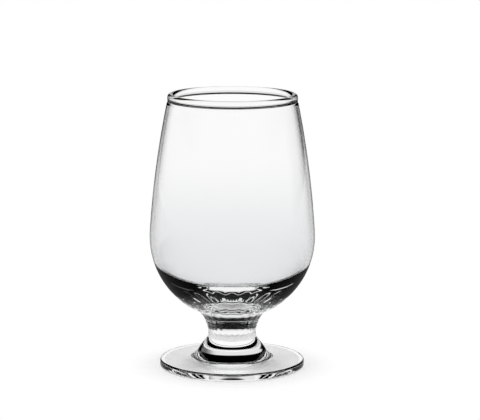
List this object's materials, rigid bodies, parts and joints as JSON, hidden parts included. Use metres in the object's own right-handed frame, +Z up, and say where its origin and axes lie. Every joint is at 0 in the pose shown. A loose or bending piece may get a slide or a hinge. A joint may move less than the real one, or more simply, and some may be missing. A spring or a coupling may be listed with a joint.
{
  "type": "beer glass",
  "caption": "Short-stemmed clear beer glass: tapering rounded bowl with a beaded rim, a stout solid stem and a round foot with a raised boss.",
  "frame": {"origin": "centre of the resting ring, on the table, at the middle of the bounding box's bottom", "axes": "+Z up along the glass's axis, which is its axis of symmetry and its longest side"},
  "size_m": [0.081, 0.081, 0.135],
  "materials": {
    "bowl_glass": "clear, blown and fire-polished",
    "stem_glass": "clear, solid",
    "foot_glass": "clear, solid"
  },
  "bodies": {
    "root": {"bowl": "bowl_glass", "stem": "stem_glass", "foot": "foot_glass"}
  },
  "joints": []
}
